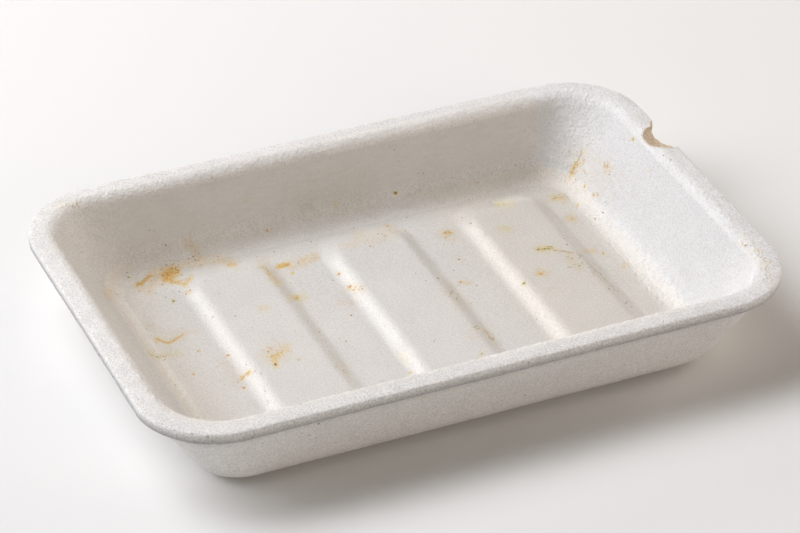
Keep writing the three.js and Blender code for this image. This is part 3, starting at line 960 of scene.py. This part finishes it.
# Thin strokes that the photograph shows: (width, places along it), in its pixels
STROKES = {
    "amber": [
        (1.1, (155.4, 338.3), (161, 341.3), (167.2, 343), (172.5, 341.6), (178, 337.6), (183, 334.3)),
        (1.2, (170, 283.3), (174, 283.6), (178, 281.7), (184, 279.4), (190.8, 277.5)),
        (1.4, (249.4, 371.6), (247, 373.8), (244.6, 375.8)),
        (1.3, (244.2, 376.2), (241.9, 379.2), (240.6, 379.8)),
        (1, (164.5, 274.5), (166.8, 277.6), (171.5, 278.6)),
        (1, (165.6, 273.8), (169.2, 271), (174.2, 269.8), (179, 270.6)),
        (0.9, (167.6, 281.6), (165.4, 278.6), (165.8, 275.4)),
        (1.1, (137.6, 285), (142.4, 283), (146.6, 279.6), (149.8, 276.4)),
        (0.8, (582.6, 149.4), (579.6, 156), (576.8, 162), (573.8, 168.6), (571.6, 174.6)),
        (0.9, (607.8, 160.4), (607.3, 165.4), (606.6, 169.6)),
        (0.9, (442.8, 233.4), (447, 232.4), (451.6, 232.6)),
        (0.8, (553, 198.4), (557.6, 197.4), (562.4, 198)),
        (0.8, (478.6, 328.4), (483.4, 329.8), (486.8, 333.4), (489.8, 337.2), (493.4, 341)),
        (0.9, (277.8, 266.6), (283, 265.3), (288.6, 264.5)),
    ],
    "olive": [
        (0.7, (555.4, 250.3), (561, 251.3), (567, 251.9), (573.5, 253.2)),
        (0.8, (536.2, 250), (541.4, 248.9), (547.4, 248.6), (552.8, 248.4)),
        (0.6, (583.4, 258.8), (590.4, 265.2), (600.2, 274.6), (609, 283.6), (617, 292.2)),
        (0.5, (148.6, 352.9), (153.4, 355.9), (159, 357.5), (166.6, 356.8)),
    ],
    "dark": [
        (0.9, (161.4, 423.2), (163.2, 424.6)), (0.9, (170.2, 425), (172.4, 426.3)),
        (0.8, (173.6, 429.4), (175.4, 430.6)), (0.9, (191.4, 433.3), (193.9, 434.2)),
        (0.9, (206.2, 436.5), (208.9, 437.2)), (0.8, (190.6, 441.2), (193.4, 441.9)),
        (0.8, (211.4, 441.2), (213.7, 441.7)), (0.8, (381, 381.4), (383.4, 380.7)),
    ],
}

# Fine bits strewn along a stain: (how many, spread in pixels, direction of the strokes in degrees, tints)
STREWN = {
    "left stain": (22, 3, 25, "amber gold orange"),
    "big stain": (46, 4.2, 0, "amber gold gold brown"),
    "big stain tail": (26, 2.6, 10, "amber gold orange"),
    "back band": (34, 4, 0, "gold grey brown"),
    "streak on the band": (8, 1.6, 0, "amber gold"),
    "first smear": (9, 2, 35, "amber orange"),
    "first patch": (40, 5, 10, "gold orange gold amber"),
    "top smear": (10, 2.4, -40, "gold brown grey"),
    "top streak": (10, 1.8, 5, "amber gold"),
    "top streak halo": (14, 4, 5, "gold gold brown"),
    "blob": (8, 2.4, 0, "gold amber"),
    "second halo": (9, 4, 0, "gold brown grey"),
    "second slope halo": (9, 2.6, 20, "orange gold"),
    "low patch": (6, 3, 0, "orange gold"),
    "third bar": (8, 1.8, 0, "gold amber"),
    "third smear halo": (6, 3.4, 40, "gold brown"),
    "scribble": (8, 2.8, 30, "gold olive brown"),
    "pad bar": (16, 2.4, 0, "olive gold"),
    "pad spot": (8, 2.4, 0, "amber gold"),
    "rib edge band": (24, 4, 35, "gold olive gold grey"),
    "valley bar": (10, 2.6, 0, "gold amber"),
    "valley scribble": (14, 3.6, 35, "gold olive"),
    "valley orange": (6, 2.2, 0, "gold orange"),
    "wall streak": (22, 3, 112, "amber gold gold"),
    "wall streak foot": (6, 3.2, 105, "gold orange"),
    "second wall streak": (12, 2.6, 95, "gold amber"),
    "wall wash": (18, 9, 105, "gold"),
    "smile": (10, 2.6, 0, "gold amber"),
    "low yellow": (8, 3, 0, "gold olive"),
    "second blush": (8, 4, 0, "pink"),
    "back left rim": (16, 3.4, -10, "gold grey gold"),
    "right rim": (44, 5, 50, "grey gold gold"),
}
FLECK_SHARE = 0.45  # of the strewn bits; the others are strokes
FLECK_WIDTHS, STROKE_WIDTHS = (0.8, 1.8), (0.5, 1.0)
STROKE_REACH, STROKE_BEND, STROKE_TURN = (0.8, 2.4), 0.4, 22  # the turn in degrees

# Tiny specks all over the tray, in a field of the photograph given by two corners in pixels
LOOSE_SPECKS, LOOSE_FIELD, LOOSE_WIDTHS = 230, ((45, 100), (775, 450)), (0.7, 1.4)
LOOSE_TINTS = "grey grey grey dark gold brown"

# A fleck has rings of this many points, given by their share of its radius and of its height
FLECK_SIDES = 9
FLECK_RINGS = ((0.94, 0.35), (0.55, 0.85))
SUNK, BOTTOM = 0.05, 0.12  # how deep its outer ring and its lowest point lie in the skin, in mm
STROKE_STEP, STROKE_SHAKE = 1.1, 0.22  # pixels
LONGEST_STEP = 3  # mm; a stroke with a longer one has left the surface that it lies on
BIT_ROUGHNESS, BIT_SPECKLES = 0.45, (0.25, 2)

skin_tree = surface_tree(tray.data)
CAMERA_RIGHT = np.array(look_matrix(CAMERA_LOOKS).col[0])


class Bits:
    """Closed little solids gathered into one piece."""

    def __init__(self):
        self.points, self.faces, self.tints, self.count = [], [], [], 0

    def add(self, points, faces, tints):
        self.points.append(points)
        self.faces.append(np.asarray(faces) + self.count)
        self.tints.append(tints)
        self.count += len(points)

    def piece(self, name, material):
        made = new_object(name, np.vstack(self.points), np.vstack(self.faces))
        point_attribute(made, "tint", np.vstack(self.tints))
        made.data.materials.append(material)
        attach(made, "root")


def on_tray(x, y):
    """(place, normal, mm per pixel) where the ray of a pixel of the photograph meets the tray."""
    place, _, _, distance = skin_tree.ray_cast(CAMERA_AT, photo_ray(x, y))
    if place is None:
        return None
    normal = smooth_tray.find_nearest(place)[1]
    return np.array(place), np.array(normal), distance / FOCAL_PX


def rings_solid(rings, top, bottom):
    """(points, faces) of a closed solid through rings of equal count, with an end point at each end."""
    count, sides = len(rings), len(rings[0])
    here = np.arange(sides)
    ahead = np.roll(here, -1)
    last = (count - 1) * sides
    faces = []
    for low in range(0, last, sides):
        high = low + sides
        faces.append(np.c_[low + here, low + ahead, high + ahead, high + here])
    low_end, high_end = (np.full(sides, last + sides + i) for i in range(2))
    faces.append(np.c_[ahead, here, low_end, low_end])
    faces.append(np.c_[last + here, last + ahead, high_end, high_end])
    return np.vstack([*rings, [bottom], [top]]), np.vstack(faces)


def choice(tints, rng):
    names = tints.split()
    return names[rng.integers(len(names))]


def tinted(tint, share):
    """The colour at each point of a bit, from its edge's at a share of 0 to its middle's at 1."""
    middle, edge = (np.array(colour) for colour in TINTS[tint])
    return edge * (1 - share) + middle * share


def add_fleck(bits, x, y, width, tint, rng):
    """A low round bit with a ragged outline, at a pixel."""
    found = on_tray(x, y)
    if found is None:
        return
    place, normal, scale = found
    along = CAMERA_RIGHT - CAMERA_RIGHT @ normal * normal
    along /= np.linalg.norm(along)
    across = np.cross(normal, along)
    radius = width / 2 * scale
    height = 0.05 + 0.22 * radius
    angle = np.linspace(0, 2 * pi, FLECK_SIDES, endpoint=False)
    ragged = np.clip(1 + 0.25 * rng.standard_normal(FLECK_SIDES), 0.55, 1.5) * radius
    flat = np.c_[np.cos(angle) * ragged, np.sin(angle) * ragged * rng.uniform(0.8, 1.15)]
    outline = flat[:, :1] * along + flat[:, 1:] * across
    rings = [place + outline - SUNK * normal]
    for size, rise in FLECK_RINGS:
        rings.append(place + size * outline + rise * height * normal)
    points, faces = rings_solid(rings, place + height * normal, place - BOTTOM * normal)
    share = np.r_[np.zeros(2 * FLECK_SIDES), np.full(FLECK_SIDES, 0.65), 0, 1][:, None]
    bits.add(points, faces, tinted(tint, share * rng.uniform(0.75, 1.0)))


def add_stroke(bits, path, width, tint, rng):
    """A thin raised stroke along a path in pixels, thin at both ends."""
    path = np.array(path, float)
    steps = np.linalg.norm(np.diff(path, axis=0), axis=1)
    run = np.r_[0, np.cumsum(steps)]
    count = max(4, int(run[-1] / STROKE_STEP) + 1)
    at = np.linspace(0, run[-1], count)
    x, y = (np.interp(at, run, path[:, i]) + STROKE_SHAKE * rng.standard_normal(count) for i in range(2))
    found = [spot for spot in map(on_tray, x, y) if spot is not None]
    if len(found) < 3:
        return
    places, normals = (np.array([spot[i] for spot in found]) for i in range(2))
    if np.linalg.norm(np.diff(places, axis=0), axis=1).max() > LONGEST_STEP:
        return
    ways = np.gradient(places, axis=0)
    sides = np.cross(normals, ways)
    sides /= np.maximum(np.linalg.norm(sides, axis=1), 1e-9)[:, None]
    share = np.linspace(0, 1, len(found))
    uneven = np.clip(1 + 0.35 * rng.standard_normal(len(found)), 0.5, 1.7)
    half = width / 2 * found[0][2] * np.sin(pi * (0.12 + 0.76 * share)) * uneven
    rings = []
    for place, normal, side, reach in zip(places, normals, sides, half):
        top = 0.03 + 0.2 * reach
        section = ((-1, -0.04), (0, -0.1), (1, -0.04), (0.55, top), (-0.55, top))
        rings.append(np.array([place + out * reach * side + up * normal for out, up in section]))
    points, faces = rings_solid(rings, places[-1] + ways[-1] * 0.3, places[0] - ways[0] * 0.3)
    share = np.clip(0.45 + 0.35 * rng.standard_normal(len(found)), 0, 1)
    share = np.r_[np.repeat(share, len(section)), 0, 0][:, None]
    bits.add(points, faces, tinted(tint, share))


def bit_material():
    material, tree, shader = new_material("dried_sauce", BIT_ROUGHNESS)
    speckle = vary(tree, BIT_SPECKLES, place_in_mm(tree), 0.8, 1.2)
    tint = scaled(tree, attribute(tree, "tint", "Color"), speckle)
    tree.links.new(tint, shader.inputs["Base Color"])
    return material


rng = np.random.default_rng(SEED)
flecks, strokes, specks = Bits(), Bits(), Bits()
for tint, places in FLECKS.items():
    for x, y, width in places:
        add_fleck(flecks, x, y, width, tint, rng)
for tint, lines in STROKES.items():
    for width, *path in lines:
        add_stroke(strokes, path, width, tint, rng)
for name, (count, spread, direction, tints) in STREWN.items():
    path = np.array(STAINS[name][4:])
    for _ in range(count):
        leg = rng.integers(len(path) - 1)
        spot = path[leg] + rng.random() * (path[leg + 1] - path[leg])
        spot = spot + spread * rng.standard_normal(2) * (1, 0.7)
        tint = choice(tints, rng)
        if rng.random() < FLECK_SHARE:
            add_fleck(flecks, *spot, rng.uniform(*FLECK_WIDTHS), tint, rng)
        else:
            turn = radians(direction + rng.normal(0, STROKE_TURN))
            reach = np.array([cos(turn), -sin(turn)]) * rng.uniform(*STROKE_REACH)
            bend = spot + STROKE_BEND * rng.standard_normal(2)
            places = [spot - reach, bend, spot + reach]
            add_stroke(strokes, places, rng.uniform(*STROKE_WIDTHS), tint, rng)
for _ in range(LOOSE_SPECKS):
    spot = rng.uniform(*LOOSE_FIELD)
    width = rng.uniform(*LOOSE_WIDTHS)
    add_fleck(specks, *spot, width, choice(LOOSE_TINTS, rng), rng)
dried_sauce = bit_material()
flecks.piece("sauce_flecks", dried_sauce)
strokes.piece("sauce_strokes", dried_sauce)
specks.piece("fine_specks", dried_sauce)

# ---- Floor, lights and camera ----


FLOOR_HALF = 3.0  # metres
FLOOR_COLOUR, FLOOR_ROUGHNESS = (0.8, 0.795, 0.78), 0.8

floor_material, _, floor_shader = new_material("studio_floor", FLOOR_ROUGHNESS)
floor_shader.inputs["Base Color"].default_value = (*FLOOR_COLOUR, 1)
floor_mesh = bpy.data.meshes.new("studio_floor")
floor_corners = [(x * FLOOR_HALF, y * FLOOR_HALF, 0) for x, y in ((-1, -1), (1, -1), (1, 1), (-1, 1))]
floor_mesh.from_pydata(floor_corners, [], [(0, 1, 2, 3)])
floor_mesh.materials.append(floor_material)
studio_floor = add_object("studio_floor", floor_mesh)

# Softboxes that look at the tray. Bearings are anticlockwise from +X, in degrees.
SOFTBOX_SIZE, SOFTBOX_DISTANCE = 0.9, 1.6  # metres
COOL, WARM = (0.95, 0.96, 1.0), (1.0, 0.90, 0.81)
SOFTBOXES = {
    "key": {"bearing": 150, "height": 45, "watts": 12.0, "colour": COOL},
    "left": {"bearing": 165, "height": 32, "watts": 8.5, "colour": COOL},
    "top": {"bearing": 135, "height": 60, "watts": 11.9, "colour": COOL},
    "back": {"bearing": 90, "height": 18, "watts": 8.6, "colour": WARM},
    "right": {"bearing": 0, "height": 18, "watts": 11.3, "colour": WARM},
    "front": {"bearing": 285, "height": 18, "watts": 7.5, "colour": WARM},
}


def add_softbox(name, bearing, height, watts, colour):
    data = bpy.data.lights.new(name, "AREA")
    data.shape, data.size = "SQUARE", SOFTBOX_SIZE
    data.energy, data.color = watts, colour
    softbox = add_object(name, data)
    bearing, height = radians(bearing), radians(height)
    away = Vector((cos(bearing) * cos(height), sin(bearing) * cos(height), sin(height)))
    softbox.matrix_world = Matrix.Translation(away * SOFTBOX_DISTANCE) @ look_matrix(-away).to_4x4()


for name, light in SOFTBOXES.items():
    add_softbox(name, **light)

SENSOR_WIDTH = 36  # mm
FURTHEST_SEEN = 50  # metres
WORLD_STRENGTH = 0.01

camera_data = bpy.data.cameras.new("camera")
camera_data.sensor_width = SENSOR_WIDTH
camera_data.lens = FOCAL_PX * SENSOR_WIDTH / PHOTO_SIZE[0]
camera_data.clip_end = FURTHEST_SEEN
camera = add_object("camera", camera_data)
camera.matrix_world = Matrix.Translation(CAMERA_AT * MM) @ look_matrix(CAMERA_LOOKS).to_4x4()
bpy.context.scene.camera = camera

world = bpy.data.worlds.new("studio")
world.use_nodes = True
world.node_tree.nodes["Background"].inputs["Strength"].default_value = WORLD_STRENGTH
bpy.context.scene.world = world
bpy.context.scene.view_settings.view_transform = "Standard"
